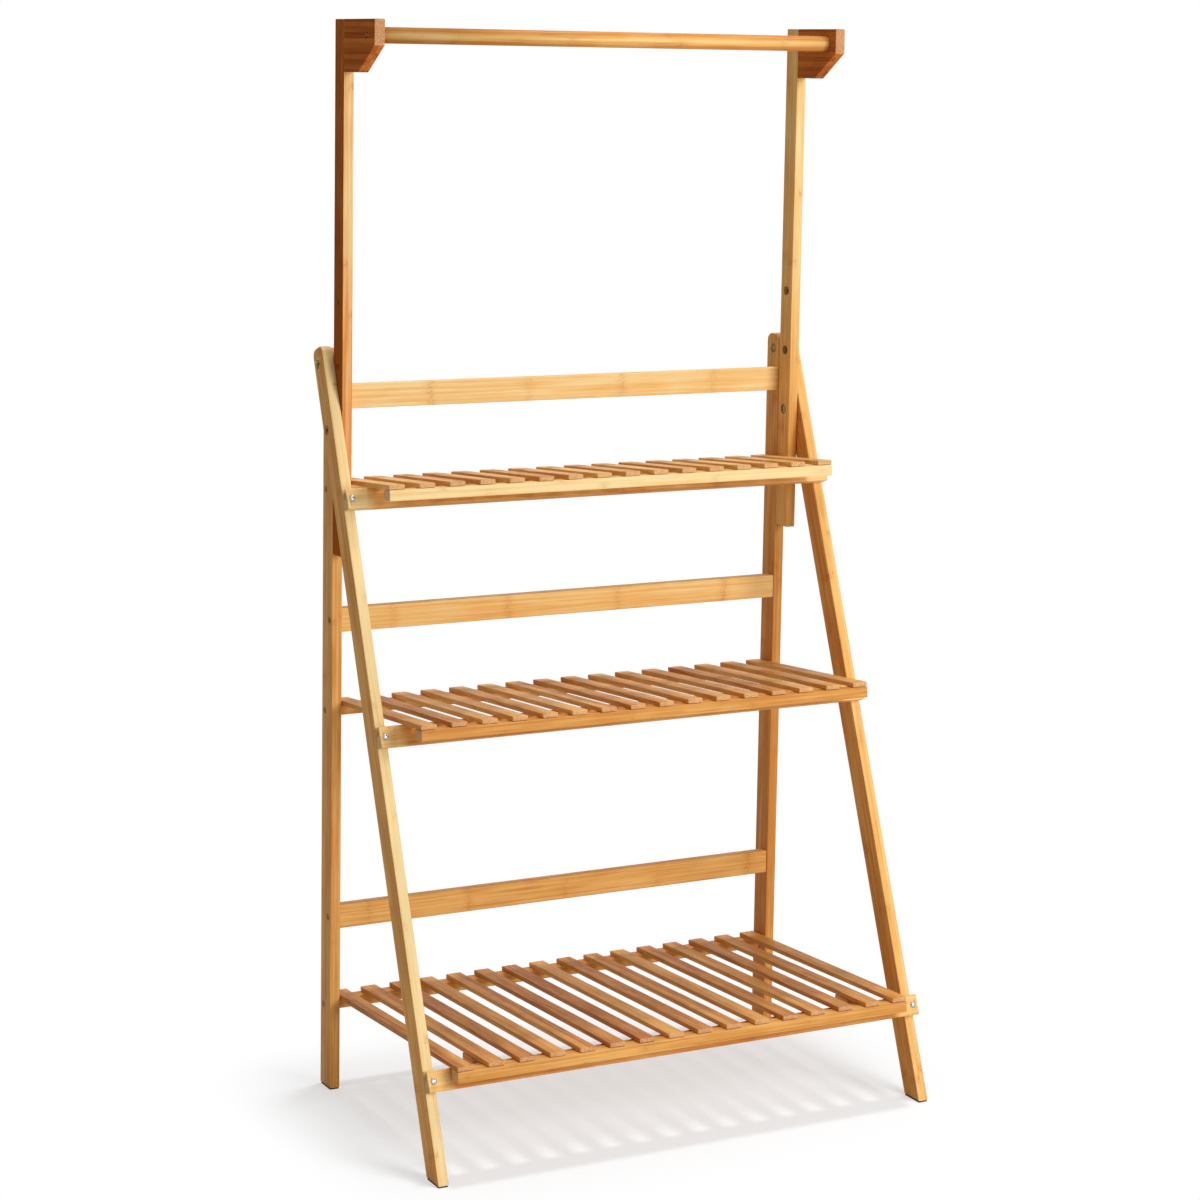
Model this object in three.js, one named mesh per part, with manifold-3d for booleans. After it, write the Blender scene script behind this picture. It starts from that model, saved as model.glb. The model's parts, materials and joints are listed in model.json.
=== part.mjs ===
// A folding plant ladder stand in laminated bamboo: an upright rear frame, a front ladder frame that
// leans against it on two pivot bolts, three slatted shelves and a hanging rod on two tall posts.
// Millimetres, +X right, +Y back, +Z up. Left is -X.
import * as THREE from "three";
import { mergeVertices } from "three/addons/utils/BufferGeometryUtils.js";
import Module from "manifold-3d";

const wasm = await Module();
wasm.setup();

// Driving dimensions of the whole stand.
const STAND_WIDTH = 700; // outside to outside of the front legs
const BOARD = 14; // thickness of every flat board
const POST_DEPTH = 32; // width of a rear post, front to back
const LEG_DEPTH = 32; // width of a front leg, front to back
const PIVOT_HEIGHT = 949.4;
const LEG_ANGLE = 21; // degrees between a front leg and the upright
const LEG_LEAD = 4; // how far the middle of a leg lies in front of the pivot bolt
const POST_ABOVE_PIVOT = 20;
const LEG_ABOVE_PIVOT = 20;
const CORNER_RADIUS = 10; // rounded top corners of posts and legs
const PAD_HEIGHT = 2;
const PAD_INSET = 1;
const PAD_EASE = 0.25;

// Clearances.
const SEAT_GAP = 0.3; // between two pieces that touch
const LEG_PLAY = 0.4; // between a front leg and its rear post
const SHELF_PLAY = 1.1; // between a shelf's end and the rear post
const HOLE_PLAY = 0.4; // radial, round every bolt and screw
const EASE = 1; // small bevel along the boards' edges

// Rails.
const BACK_RAIL_HEIGHT = 31;
const BACK_RAIL_SETBACK = 1.5; // behind the front face of the posts
const FRONT_RAIL_HEIGHT = 26;

// Shelves: a rear bar and a front lip of one stock carry the slats.
const SLAT_COUNT = 16;
const SLAT_WIDTH = 21.5;
const SLAT_THICKNESS = 6;
const SLAT_EASE = 1.5;
const SLAT_SETBACK = 1; // of the slats' front ends behind the lip's front face
const BAR_DEPTH = 19;
const BAR_HEIGHT = 14;
const STOP_LENGTH = 30;
const STOP_HEIGHT = 12;
const STOP_GAP = 7; // between a stop block and the back face of the bottom front rail
const BACK_RAIL_ABOVE_SHELF = 104.7; // from a shelf's pivot up to the lower edge of the rail behind it
// Each tier: distance of the front rail's top edge below the pivot bolt along the leg, how far the
// shelf's pivot lies below that edge, and how far the shelf's lip stands clear of the front rail.
const TIERS = {
  top: { rail: 170, drop: 14.8, ahead: 43.7 },
  middle: { rail: 469.5, drop: 22.6, ahead: 36.7 },
  bottom: { rail: 886.5, drop: 23.7, ahead: 0.5 },
};

// Hanger.
const HANGER_POST_DEPTH = 28;
const HANGER_LENGTH = 674;
const HANGER_HOLES = 3;
const HANGER_HOLE_PITCH = 80.7; // also from the pivot bolt down to the bolt in the lowest hole
const HANGER_BELOW_BOLT = 161.1; // from the lowest hole to the posts' lower ends
const BRACKET_REACH = 94; // in front of the hanger posts
const BRACKET_HEIGHT = 65;
const BRACKET_NOSE = 32; // height of the upright front edge
const BRACKET_HEEL = 58; // length of the lower edge
const ROD_RADIUS = 10;
const ROD_AHEAD = 70.5; // of the rod's axis in front of the hanger posts
const ROD_BELOW_TOP = 19.5;

// Fasteners.
const BOLT_RADIUS = 3;
const BOLT_HEAD_RADIUS = 6;
const BOLT_HEAD_HEIGHT = 3.5;
const BOLT_HEAD_EASE = 0.5;
const BOLT_SOCKET_RADIUS = 2.3;
const NUT_RADIUS = 5.8; // over the corners
const NUT_HEIGHT = 4;
const SCREW_RADIUS = 2;
const SCREW_HEAD_RADIUS = 4;
const SCREW_HEAD_HEIGHT = 2.4;
const SCREW_SHOULDER_RADIUS = 3.4; // the domed head narrows here
const SCREW_SHOULDER_HEIGHT = 1.8;
const SCREW_CROWN_RADIUS = 2;
const SCREW_POINT = 3;
const CROSS_WIDTH = 1;
const CROSS_DEPTH = 1.2;
const RECESS_DEPTH = 5; // of the counterbores for bolt heads, nuts and side screws
const FRONT_SCREW_LENGTH = 34;
const RAIL_SCREW_LENGTH = 34;
const PIVOT_SCREW_LENGTH = 30;
const ROD_SCREW_LENGTH = 32;
const BRACKET_SCREW_LENGTH = 50;
const BRACKET_SCREW_EDGE = 16; // from the bracket's upper and lower edges

// Faceting.
const ARC_STEPS = 4;
const ROD_SIDES = 24;
const BOLT_SIDES = 16;
const SCREW_SIDES = 10;
const HEX_SIDES = 6;

// What follows from the sizes above.
const LEG_OUTER = STAND_WIDTH / 2;
const LEG_INNER = LEG_OUTER - BOARD;
const POST_OUTER = LEG_INNER - LEG_PLAY;
const POST_INNER = POST_OUTER - BOARD;
const SHELF_HALF = POST_INNER - SHELF_PLAY;
const PIVOT_Y = POST_DEPTH / 2;
const SHELF_PIVOT_Y = POST_DEPTH - BAR_DEPTH / 2;
const LEAN = THREE.MathUtils.degToRad(LEG_ANGLE);
const LEG_FRONT = LEG_LEAD + LEG_DEPTH / 2; // leg faces, measured forwards from the pivot bolt
const LEG_BACK = LEG_LEAD - LEG_DEPTH / 2;
const RAIL_BACK = LEG_FRONT + SEAT_GAP;
const RAIL_FRONT = RAIL_BACK + BOARD;
const HANGER_BOLT_HEIGHT = PIVOT_HEIGHT - HANGER_HOLE_PITCH;
const HANGER_FOOT = HANGER_BOLT_HEIGHT - HANGER_BELOW_BOLT;
const HANGER_TOP = HANGER_FOOT + HANGER_LENGTH;
const HANGER_BACK = -SEAT_GAP;
const HANGER_FRONT = HANGER_BACK - HANGER_POST_DEPTH;
const HANGER_BOLT_Y = HANGER_BACK - HANGER_POST_DEPTH / 2;
const BRACKET_BACK = HANGER_FRONT - SEAT_GAP;
const ROD_Y = HANGER_FRONT - ROD_AHEAD;
const ROD_HEIGHT = HANGER_TOP - ROD_BELOW_TOP;
const STOP_SLATS = [1, SLAT_COUNT - 2]; // the slats that carry a stop block, counted from the left
const SIDES = { left: -1, right: 1 };

const BAMBOO = { color: 0xc98a4b, roughness: 0.45, metalness: 0 };
const STEEL = { color: 0xc9ccd0, roughness: 0.3, metalness: 0.9 };
const RUBBER = { color: 0x1c1a18, roughness: 0.85, metalness: 0 };

// A closed geometry as a solid for joining and cutting.
function solid(geometry) {
  const bare = geometry.clone();
  bare.deleteAttribute("normal");
  bare.deleteAttribute("uv");
  const merged = mergeVertices(bare);
  const index = merged.index.array;
  const corners = [];
  for (let i = 0; i < index.length; i += 3) {
    const [a, b, c] = index.slice(i, i + 3);
    if (a !== b && b !== c && c !== a) corners.push(a, b, c);
  }
  return new wasm.Manifold(
    new wasm.Mesh({
      numProp: 3,
      vertProperties: merged.attributes.position.array,
      triVerts: new Uint32Array(corners),
    }),
  );
}

function geometryOf(shape) {
  const mesh = shape.getMesh();
  const geometry = new THREE.BufferGeometry();
  geometry.setAttribute("position", new THREE.BufferAttribute(mesh.vertProperties, 3));
  geometry.setIndex(new THREE.BufferAttribute(mesh.triVerts, 1));
  geometry.computeVertexNormals();
  return geometry;
}

function cut(shape, cutters) {
  return cutters.reduce((left, cutter) => left.subtract(cutter), shape);
}

function part(name, shape, look) {
  const mesh = new THREE.Mesh(geometryOf(shape), new THREE.MeshStandardMaterial({ ...look }));
  mesh.name = name;
  return mesh;
}

// A rectangle in the plane of the stand's side, a measured along Y and b along Z, with rounded top corners.
function sideOutline(a0, a1, b0, b1, radius) {
  const outline = new THREE.Shape();
  outline.moveTo(a0, b0);
  outline.lineTo(a1, b0);
  outline.lineTo(a1, b1 - radius);
  outline.absarc(a1 - radius, b1 - radius, radius, 0, Math.PI / 2);
  outline.lineTo(a0 + radius, b1);
  outline.absarc(a0 + radius, b1 - radius, radius, Math.PI / 2, Math.PI);
  return outline;
}

function plainOutline(a0, a1, b0, b1) {
  const corners = [[a0, b0], [a1, b0], [a1, b1], [a0, b1]];
  return new THREE.Shape(corners.map(([a, b]) => new THREE.Vector2(a, b)));
}

// A side outline as a board from x0 to x1, its edges eased.
function board(outline, x0, x1) {
  const geometry = new THREE.ExtrudeGeometry(outline, {
    depth: x1 - x0 - 2 * EASE,
    bevelThickness: EASE,
    bevelSize: EASE,
    bevelOffset: -EASE,
    bevelSegments: 1,
    curveSegments: ARC_STEPS,
  });
  return solid(alongX(geometry).translate(x0 + EASE, 0, 0));
}

// Turns an outline drawn in X and Y, extruded along Z, so that it is drawn in Y and Z along X.
function alongX(geometry) {
  const turn = new THREE.Matrix4().makeBasis(
    new THREE.Vector3(0, 1, 0),
    new THREE.Vector3(0, 0, 1),
    new THREE.Vector3(1, 0, 0),
  );
  return geometry.applyMatrix4(turn);
}

// A bar of eased rectangular section that runs along X.
function barX(x0, x1, y0, y1, z0, z1, ease) {
  const outline = easedRectangle(y0, y1, z0, z1, ease);
  const geometry = new THREE.ExtrudeGeometry(outline, { depth: x1 - x0, bevelEnabled: false });
  return solid(alongX(geometry).translate(x0, 0, 0));
}

// A slat of eased rectangular section that runs along Y.
function barY(x0, x1, y0, y1, z0, z1, ease) {
  const outline = easedRectangle(x0, x1, z0, z1, ease);
  const geometry = new THREE.ExtrudeGeometry(outline, { depth: y1 - y0, bevelEnabled: false });
  return solid(geometry.rotateX(Math.PI / 2).translate(0, y1, 0));
}

function easedRectangle(a0, a1, b0, b1, ease) {
  const corners = [
    [a0 + ease, b0], [a1 - ease, b0], [a1, b0 + ease], [a1, b1 - ease],
    [a1 - ease, b1], [a0 + ease, b1], [a0, b1 - ease], [a0, b0 + ease],
  ];
  return new THREE.Shape(corners.map(([a, b]) => new THREE.Vector2(a, b)));
}

// A cylinder along X through (y, z).
function roundX(x0, x1, y, z, radius, sides) {
  const geometry = new THREE.CylinderGeometry(radius, radius, x1 - x0, sides);
  return solid(geometry.rotateZ(Math.PI / 2).translate((x0 + x1) / 2, y, z));
}

// A cylinder along Y through (x, z).
function roundY(y0, y1, x, z, radius, sides) {
  const geometry = new THREE.CylinderGeometry(radius, radius, y1 - y0, sides);
  return solid(geometry.translate(x, (y0 + y1) / 2, z));
}

// A span along X given outwards from the middle of the stand, on the chosen side.
function span(side, inner, outer) {
  return side < 0 ? [-outer, -inner] : [inner, outer];
}

// A hole along X from the middle of the stand outwards, on the chosen side.
function holeX(side, inner, outer, y, z, radius, sides) {
  return roundX(...span(side, inner, outer), y, z, radius, sides);
}

// A prism or cylinder about Z from one height to another.
function upright(radius, low, high, sides) {
  const geometry = new THREE.CylinderGeometry(radius, radius, high - low, sides);
  return solid(geometry.rotateX(Math.PI / 2).translate(0, 0, (low + high) / 2));
}

// A body of revolution about +Z from (radius, height) pairs that start and end on the axis.
function turned(profile, sides) {
  const points = profile.map(([radius, height]) => new THREE.Vector2(radius, height));
  return solid(new THREE.LatheGeometry(points, sides).rotateX(Math.PI / 2));
}

// A cross-head wood screw along +Z, its head above zero and its shank below.
function screwShape(length) {
  const shape = turned(
    [
      [0, -length],
      [SCREW_RADIUS, SCREW_POINT - length],
      [SCREW_RADIUS, 0],
      [SCREW_HEAD_RADIUS, 0],
      [SCREW_SHOULDER_RADIUS, SCREW_SHOULDER_HEIGHT],
      [SCREW_CROWN_RADIUS, SCREW_HEAD_HEIGHT],
      [0, SCREW_HEAD_HEIGHT],
    ],
    SCREW_SIDES,
  );
  const slot = new THREE.BoxGeometry(SCREW_HEAD_RADIUS, CROSS_WIDTH, 2 * CROSS_DEPTH);
  slot.translate(0, 0, SCREW_HEAD_HEIGHT);
  const cross = solid(slot).add(solid(slot.clone().rotateZ(Math.PI / 2)));
  return shape.subtract(cross);
}

// A machine bolt along +Z, its flat head above zero with a six-sided socket.
function boltShape(length) {
  const shape = turned(
    [
      [0, -length],
      [BOLT_RADIUS, -length],
      [BOLT_RADIUS, 0],
      [BOLT_HEAD_RADIUS, 0],
      [BOLT_HEAD_RADIUS, BOLT_HEAD_HEIGHT - BOLT_HEAD_EASE],
      [BOLT_HEAD_RADIUS - BOLT_HEAD_EASE, BOLT_HEAD_HEIGHT],
      [0, BOLT_HEAD_HEIGHT],
    ],
    BOLT_SIDES,
  );
  const socket = upright(BOLT_SOCKET_RADIUS, BOLT_HEAD_HEIGHT / 2, BOLT_HEAD_HEIGHT + EASE, HEX_SIDES);
  return shape.subtract(socket);
}

// A six-sided nut about Z, from zero to its height.
function nutShape() {
  return upright(NUT_RADIUS, 0, NUT_HEIGHT, HEX_SIDES);
}

// A fastener whose +Z points along the given direction.
function fastener(name, shape, position, direction) {
  const mesh = part(name, shape, STEEL);
  mesh.position.set(...position);
  mesh.quaternion.setFromUnitVectors(new THREE.Vector3(0, 0, 1), new THREE.Vector3(...direction));
  return mesh;
}

// The hole and the counterbore of a side screw whose head sits in a recess of the outer face.
function sideScrewHoles(side, inner, outer, y, z) {
  const shank = holeX(side, inner - EASE, outer + EASE, y, z, SCREW_RADIUS + HOLE_PLAY, SCREW_SIDES);
  const recessRadius = SCREW_HEAD_RADIUS + HOLE_PLAY;
  const recess = holeX(side, outer - RECESS_DEPTH, outer + EASE, y, z, recessRadius, SCREW_SIDES);
  return [shank, recess];
}

// A bolt hole through a board, with a counterbore in its outer face (a head) or inner face (a nut).
function boltHoles(side, inner, outer, y, z, recessInside) {
  const hole = holeX(side, inner - EASE, outer + EASE, y, z, BOLT_RADIUS + HOLE_PLAY, BOLT_SIDES);
  const from = recessInside ? inner - EASE : outer - RECESS_DEPTH;
  const to = recessInside ? inner + RECESS_DEPTH : outer + EASE;
  const recess = holeX(side, from, to, y, z, BOLT_HEAD_RADIUS + HOLE_PLAY, BOLT_SIDES);
  return [hole, recess];
}

// A blind hole in the end of a piece that runs along X, for the shank of a side screw.
function endHole(side, end, depth, y, z) {
  return holeX(side, end - depth, end + EASE, y, z, SCREW_RADIUS + HOLE_PLAY, SCREW_SIDES);
}

// How deep a side screw that sits in a post's recess reaches into the piece behind the post.
function reachBehindPost(length, end) {
  return length - (POST_OUTER - RECESS_DEPTH - end) + HOLE_PLAY;
}

// The height of the pivot on which a tier's shelf turns.
function shelfPivot(tier) {
  return inStand(-RAIL_FRONT, -tier.rail).z - tier.drop;
}

function backRailMiddle(tier) {
  const low = shelfPivot(tier) + BACK_RAIL_ABOVE_SHELF;
  return { y: BACK_RAIL_SETBACK + BOARD / 2, z: low + BACK_RAIL_HEIGHT / 2 };
}

function rearPost(sideName, side) {
  const top = PIVOT_HEIGHT + POST_ABOVE_PIVOT;
  const outline = sideOutline(0, POST_DEPTH, PAD_HEIGHT + SEAT_GAP, top, CORNER_RADIUS);
  const cutters = boltHoles(side, POST_INNER, POST_OUTER, PIVOT_Y, PIVOT_HEIGHT, true);
  for (const tier of Object.values(TIERS)) {
    const rail = backRailMiddle(tier);
    const pivot = shelfPivot(tier);
    cutters.push(...sideScrewHoles(side, POST_INNER, POST_OUTER, SHELF_PIVOT_Y, pivot));
    cutters.push(...sideScrewHoles(side, POST_INNER, POST_OUTER, rail.y, rail.z));
  }
  const shape = cut(board(outline, ...span(side, POST_INNER, POST_OUTER)), cutters);
  return part(`rear_post_${sideName}`, shape, BAMBOO);
}

function backRail(tierName, tier) {
  const end = POST_INNER - SEAT_GAP;
  const { y, z } = backRailMiddle(tier);
  const halfDepth = BOARD / 2;
  const halfHeight = BACK_RAIL_HEIGHT / 2;
  const bar = barX(-end, end, y - halfDepth, y + halfDepth, z - halfHeight, z + halfHeight, EASE);
  const depth = reachBehindPost(RAIL_SCREW_LENGTH, end);
  const holes = Object.values(SIDES).map((side) => endHole(side, end, depth, y, z));
  return part(`back_rail_${tierName}`, cut(bar, holes), BAMBOO);
}

function pad(name, side, inner, outer, back, front) {
  const [x0, x1] = span(side, inner + PAD_INSET, outer - PAD_INSET);
  const shape = barX(x0, x1, front + PAD_INSET, back - PAD_INSET, 0, PAD_HEIGHT, PAD_EASE);
  return part(name, shape, RUBBER);
}

function rearFrame() {
  const frame = new THREE.Group();
  for (const [sideName, side] of Object.entries(SIDES)) {
    frame.add(rearPost(sideName, side));
    frame.add(pad(`foot_pad_rear_${sideName}`, side, POST_INNER, POST_OUTER, POST_DEPTH, 0));
    frame.add(pivotBolt(sideName, side), pivotNut(sideName, side));
    for (const [tierName, tier] of Object.entries(TIERS)) {
      const { y, z } = backRailMiddle(tier);
      const seat = side * (POST_OUTER - RECESS_DEPTH + SEAT_GAP);
      const name = `back_rail_screw_${tierName}_${sideName}`;
      frame.add(fastener(name, screwShape(RAIL_SCREW_LENGTH), [seat, y, z], [side, 0, 0]));
    }
  }
  for (const [tierName, tier] of Object.entries(TIERS)) frame.add(backRail(tierName, tier));
  return frame;
}

// The pivot bolt runs from its head in the leg's outer face to the nut in the post's inner face.
function pivotBolt(sideName, side) {
  const seat = LEG_OUTER - RECESS_DEPTH + SEAT_GAP;
  const length = seat - (POST_INNER + RECESS_DEPTH - SEAT_GAP - NUT_HEIGHT);
  const place = [side * seat, PIVOT_Y, PIVOT_HEIGHT];
  return fastener(`pivot_bolt_${sideName}`, boltShape(length), place, [side, 0, 0]);
}

function pivotNut(sideName, side) {
  const seat = POST_INNER + RECESS_DEPTH - SEAT_GAP;
  const bore = upright(BOLT_RADIUS + SEAT_GAP, -EASE, NUT_HEIGHT + EASE, BOLT_SIDES);
  const shape = nutShape().subtract(bore);
  return fastener(`pivot_nut_${sideName}`, shape, [side * seat, PIVOT_Y, PIVOT_HEIGHT], [-side, 0, 0]);
}

// The front frame is built upright about the pivot bolts, then leans forwards as one group.
// In it, y is measured backwards and z upwards from the pivot bolt, square to the legs.
function inFrontFrame(y, z) {
  const dy = y - PIVOT_Y;
  const dz = z - PIVOT_HEIGHT;
  return {
    y: dy * Math.cos(LEAN) - dz * Math.sin(LEAN),
    z: dy * Math.sin(LEAN) + dz * Math.cos(LEAN),
  };
}

// The place in the stand of a point of the front frame.
function inStand(y, z) {
  return {
    y: PIVOT_Y + y * Math.cos(LEAN) + z * Math.sin(LEAN),
    z: PIVOT_HEIGHT - y * Math.sin(LEAN) + z * Math.cos(LEAN),
  };
}

// Where the level floor cut crosses a line of the leg, given by its distance y from the pivot bolt.
function footAt(y) {
  const level = PAD_HEIGHT + SEAT_GAP;
  return (level - PIVOT_HEIGHT + y * Math.sin(LEAN)) / Math.cos(LEAN);
}

function hangerBoltInFrontFrame() {
  return inFrontFrame(HANGER_BOLT_Y, HANGER_BOLT_HEIGHT);
}

function frontRailSpan(tier) {
  return [-tier.rail - FRONT_RAIL_HEIGHT, -tier.rail];
}

function frontScrewHoles(side) {
  const x = side * (LEG_INNER + BOARD / 2);
  const tip = FRONT_SCREW_LENGTH - BOARD;
  return Object.values(TIERS).map((tier) => {
    const [low, high] = frontRailSpan(tier);
    const radius = SCREW_RADIUS + HOLE_PLAY;
    return roundY(-RAIL_FRONT - EASE, tip - LEG_FRONT, x, (low + high) / 2, radius, SCREW_SIDES);
  });
}

function frontLeg(sideName, side) {
  const outline = new THREE.Shape();
  const back = -LEG_BACK;
  const front = -LEG_FRONT;
  const top = LEG_ABOVE_PIVOT;
  outline.moveTo(front, footAt(front));
  outline.lineTo(back, footAt(back));
  outline.lineTo(back, top - CORNER_RADIUS);
  outline.absarc(back - CORNER_RADIUS, top - CORNER_RADIUS, CORNER_RADIUS, 0, Math.PI / 2);
  outline.lineTo(front + CORNER_RADIUS, top);
  outline.absarc(front + CORNER_RADIUS, top - CORNER_RADIUS, CORNER_RADIUS, Math.PI / 2, Math.PI);
  const hanger = hangerBoltInFrontFrame();
  const cutters = [
    ...boltHoles(side, LEG_INNER, LEG_OUTER, 0, 0, false),
    ...boltHoles(side, LEG_INNER, LEG_OUTER, hanger.y, hanger.z, false),
    ...frontScrewHoles(side),
  ];
  const shape = cut(board(outline, ...span(side, LEG_INNER, LEG_OUTER)), cutters);
  return part(`front_leg_${sideName}`, shape, BAMBOO);
}

function frontRail(tierName, tier) {
  const [low, high] = frontRailSpan(tier);
  const bar = barX(-LEG_OUTER, LEG_OUTER, -RAIL_FRONT, -RAIL_BACK, low, high, EASE);
  const holes = Object.values(SIDES).flatMap((side) => frontScrewHoles(side));
  return part(`front_rail_${tierName}`, cut(bar, holes), BAMBOO);
}

function hangerBolt(sideName, side) {
  const seat = LEG_OUTER - RECESS_DEPTH + SEAT_GAP;
  const { y, z } = hangerBoltInFrontFrame();
  return fastener(`hanger_bolt_${sideName}`, boltShape(seat - LEG_INNER), [side * seat, y, z], [side, 0, 0]);
}

function frontFrame() {
  const frame = new THREE.Group();
  frame.position.set(0, PIVOT_Y, PIVOT_HEIGHT);
  frame.rotation.x = -LEAN;
  for (const [sideName, side] of Object.entries(SIDES)) {
    frame.add(frontLeg(sideName, side), hangerBolt(sideName, side));
    for (const [tierName, tier] of Object.entries(TIERS)) {
      const [low, high] = frontRailSpan(tier);
      const place = [side * (LEG_INNER + BOARD / 2), -RAIL_FRONT - SEAT_GAP, (low + high) / 2];
      const name = `front_rail_screw_${tierName}_${sideName}`;
      frame.add(fastener(name, screwShape(FRONT_SCREW_LENGTH), place, [0, -1, 0]));
    }
  }
  for (const [tierName, tier] of Object.entries(TIERS)) frame.add(frontRail(tierName, tier));
  return frame;
}

function frontPads() {
  const pads = new THREE.Group();
  const front = inStand(-LEG_FRONT, footAt(-LEG_FRONT));
  const back = inStand(-LEG_BACK, footAt(-LEG_BACK));
  for (const [sideName, side] of Object.entries(SIDES)) {
    pads.add(pad(`foot_pad_front_${sideName}`, side, LEG_INNER, LEG_OUTER, back.y, front.y));
  }
  return pads;
}

// The upper front edge of a tier's front rail, measured from the shelf's pivot.
function railEdge(tier) {
  const edge = inStand(-RAIL_FRONT, -tier.rail);
  return { forward: SHELF_PIVOT_Y - edge.y, up: tier.drop };
}

// The angle at which a shelf rests with its slats on the upper front edge of its front rail.
function shelfTilt(tier) {
  const { forward, up } = railEdge(tier);
  const below = BAR_HEIGHT / 2 - SEAT_GAP;
  return Math.atan2(up, forward) - Math.asin(below / Math.hypot(forward, up));
}

// From a shelf's pivot to its lip's front face. The lip's lower back edge clears the sloping front rail.
function shelfReach(tier) {
  const { forward, up } = railEdge(tier);
  const tilt = shelfTilt(tier);
  const edge = forward * Math.cos(tilt) + up * Math.sin(tilt);
  const slope = BAR_HEIGHT * Math.tan(LEAN - tilt);
  return edge + slope + tier.ahead + BAR_DEPTH;
}

function slatLeft(number) {
  const pitch = (2 * SHELF_HALF - SLAT_WIDTH) / (SLAT_COUNT - 1);
  return -SHELF_HALF + number * pitch;
}

// The slats and the rear bar that they are fixed on, in the shelf's own frame about its pivot.
function slatPanel(tierName, tier) {
  const low = BAR_HEIGHT / 2;
  const high = low + SLAT_THICKNESS;
  const back = BAR_DEPTH / 2;
  const front = SLAT_SETBACK - shelfReach(tier);
  let shape = barX(-SHELF_HALF, SHELF_HALF, -back, back, -low, low, EASE);
  for (let number = 0; number < SLAT_COUNT; number += 1) {
    const x = slatLeft(number);
    shape = shape.add(barY(x, x + SLAT_WIDTH, front, back, low, high, SLAT_EASE));
  }
  const depth = reachBehindPost(PIVOT_SCREW_LENGTH, SHELF_HALF);
  const holes = Object.values(SIDES).map((side) => endHole(side, SHELF_HALF, depth, 0, 0));
  return part(`shelf_${tierName}`, cut(shape, holes), BAMBOO);
}

function shelfLip(tierName, tier) {
  const top = BAR_HEIGHT / 2 - SEAT_GAP;
  const front = -shelfReach(tier);
  const shape = barX(-SHELF_HALF, SHELF_HALF, front, front + BAR_DEPTH, top - BAR_HEIGHT, top, EASE);
  return part(`shelf_lip_${tierName}`, shape, BAMBOO);
}

// The stop blocks hang under two slats of the bottom shelf, behind its front rail.
function stopBlocks(tier, tilt) {
  const top = BAR_HEIGHT / 2 - SEAT_GAP;
  const edge = inStand(-RAIL_BACK, -tier.rail);
  const up = edge.z - shelfPivot(tier);
  const railBack = (edge.y - SHELF_PIVOT_Y) * Math.cos(tilt) - up * Math.sin(tilt);
  const front = railBack + STOP_GAP;
  return STOP_SLATS.map((number, i) => {
    const x = slatLeft(number);
    const shape = barX(x, x + SLAT_WIDTH, front, front + STOP_LENGTH, top - STOP_HEIGHT, top, EASE);
    return part(`stop_block_${Object.keys(SIDES)[i]}`, shape, BAMBOO);
  });
}

function shelf(tierName, tier) {
  const group = new THREE.Group();
  const tilt = shelfTilt(tier);
  group.position.set(0, SHELF_PIVOT_Y, shelfPivot(tier));
  group.rotation.x = -tilt;
  group.add(slatPanel(tierName, tier), shelfLip(tierName, tier));
  for (const [sideName, side] of Object.entries(SIDES)) {
    const seat = side * (POST_OUTER - RECESS_DEPTH + SEAT_GAP);
    const name = `shelf_pivot_screw_${tierName}_${sideName}`;
    group.add(fastener(name, screwShape(PIVOT_SCREW_LENGTH), [seat, 0, 0], [side, 0, 0]));
  }
  if (tier === TIERS.bottom) group.add(...stopBlocks(tier, tilt));
  return group;
}

function bracketScrewHeights() {
  const low = HANGER_TOP - BRACKET_HEIGHT;
  return { upper: HANGER_TOP - BRACKET_SCREW_EDGE, lower: low + BRACKET_SCREW_EDGE };
}

// Holes for the screws that run forwards from the hanger post's back face into the bracket.
function bracketScrewHoles(side) {
  const x = side * (POST_INNER + BOARD / 2);
  return Object.values(bracketScrewHeights()).flatMap((z) => {
    const seat = HANGER_BACK - RECESS_DEPTH;
    const tip = seat - BRACKET_SCREW_LENGTH - HOLE_PLAY;
    const shank = roundY(tip, HANGER_BACK + EASE, x, z, SCREW_RADIUS + HOLE_PLAY, SCREW_SIDES);
    const recess = roundY(seat, HANGER_BACK + EASE, x, z, SCREW_HEAD_RADIUS + HOLE_PLAY, SCREW_SIDES);
    return [shank, recess];
  });
}

function hangerPost(sideName, side) {
  const outline = plainOutline(HANGER_FRONT, HANGER_BACK, HANGER_FOOT, HANGER_TOP);
  const cutters = bracketScrewHoles(side);
  for (let i = 0; i < HANGER_HOLES; i += 1) {
    const z = HANGER_BOLT_HEIGHT + i * HANGER_HOLE_PITCH;
    cutters.push(...boltHoles(side, POST_INNER, POST_OUTER, HANGER_BOLT_Y, z, true));
  }
  const shape = cut(board(outline, ...span(side, POST_INNER, POST_OUTER)), cutters);
  return part(`hanger_post_${sideName}`, shape, BAMBOO);
}

function hangerBracket(sideName, side) {
  const nose = BRACKET_BACK - BRACKET_REACH;
  const low = HANGER_TOP - BRACKET_HEIGHT;
  const outline = new THREE.Shape();
  outline.moveTo(BRACKET_BACK, low);
  outline.lineTo(BRACKET_BACK, HANGER_TOP);
  outline.lineTo(nose, HANGER_TOP);
  outline.lineTo(nose, HANGER_TOP - BRACKET_NOSE);
  outline.lineTo(BRACKET_BACK - BRACKET_HEEL, low);
  const cutters = [
    ...bracketScrewHoles(side),
    ...sideScrewHoles(side, POST_INNER, POST_OUTER, ROD_Y, ROD_HEIGHT),
  ];
  const shape = cut(board(outline, ...span(side, POST_INNER, POST_OUTER)), cutters);
  return part(`hanger_bracket_${sideName}`, shape, BAMBOO);
}

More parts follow.
